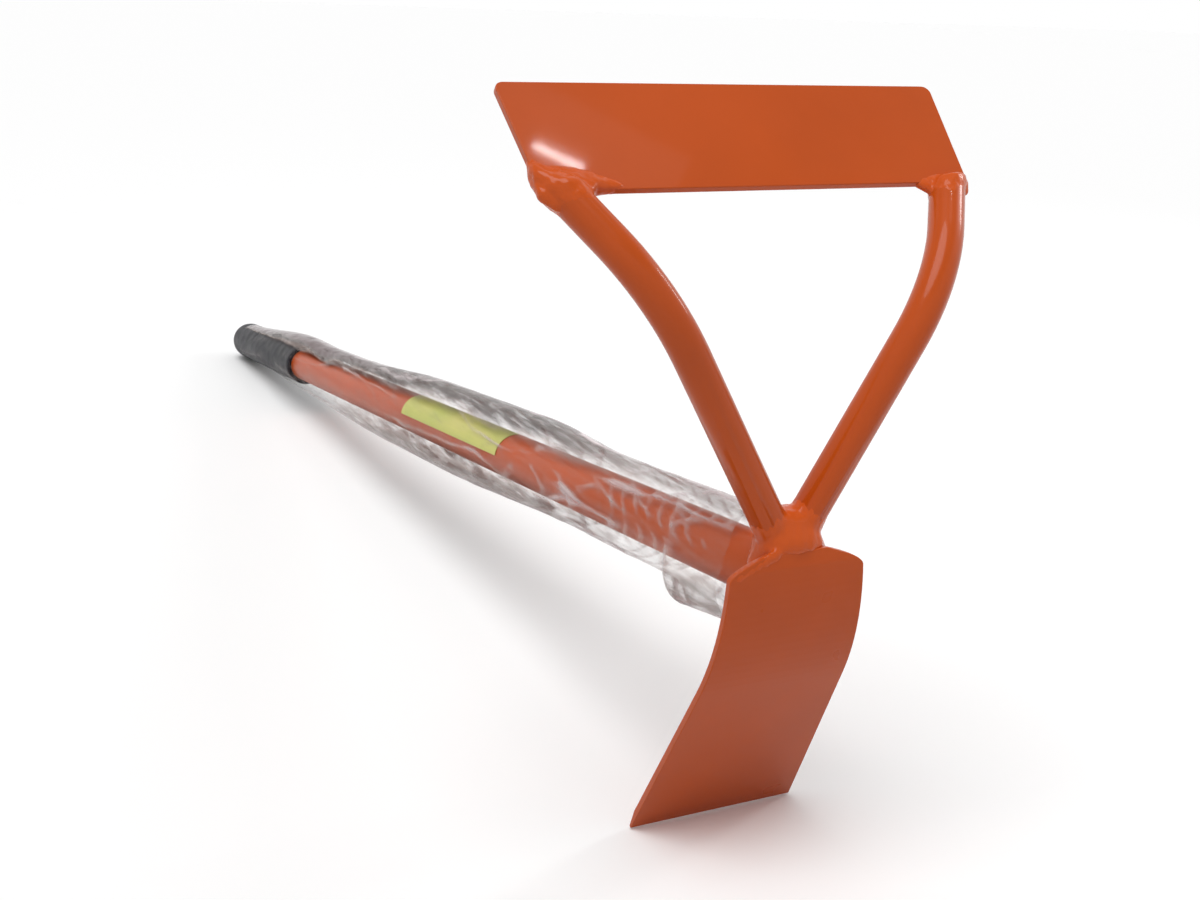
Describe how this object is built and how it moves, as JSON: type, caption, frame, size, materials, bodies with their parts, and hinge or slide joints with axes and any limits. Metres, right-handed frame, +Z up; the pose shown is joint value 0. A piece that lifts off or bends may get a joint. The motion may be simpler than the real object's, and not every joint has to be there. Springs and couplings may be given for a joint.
{
  "type": "planters hoe",
  "caption": "Long-handled planting hoe: a narrow curved blade below and a wide straight blade on a bent-rod fork above, on a steel tube handle with a rubber grip and a clear film sleeve.",
  "frame": {"origin": "middle of the bounding box at floor level", "axes": "+Y along the handle from the blades to the grip, +Z up, +X across the blades; the tool stands on the narrow blade's lower edge and the grip's far end"},
  "size_m": [0.1964, 0.9668, 0.3097],
  "materials": {
    "orange_paint": "semi-gloss orange paint on steel",
    "painted_weld": "weld metal under the same orange paint",
    "black_rubber": "smooth black rubber with a soft sheen",
    "yellow_sticker": "bare yellow sticker",
    "clear_film": "thin crinkled clear packaging film"
  },
  "bodies": {
    "root": {"narrow_blade": "orange_paint", "wide_blade": "orange_paint", "handle_tube": "orange_paint", "left_fork_rod": "orange_paint", "right_fork_rod": "orange_paint", "blade_weld": "painted_weld", "root_weld": "painted_weld", "left_blade_weld": "painted_weld", "right_blade_weld": "painted_weld", "hand_grip": "black_rubber", "label_strip": "yellow_sticker", "film_sleeve": "clear_film"}
  },
  "joints": []
}
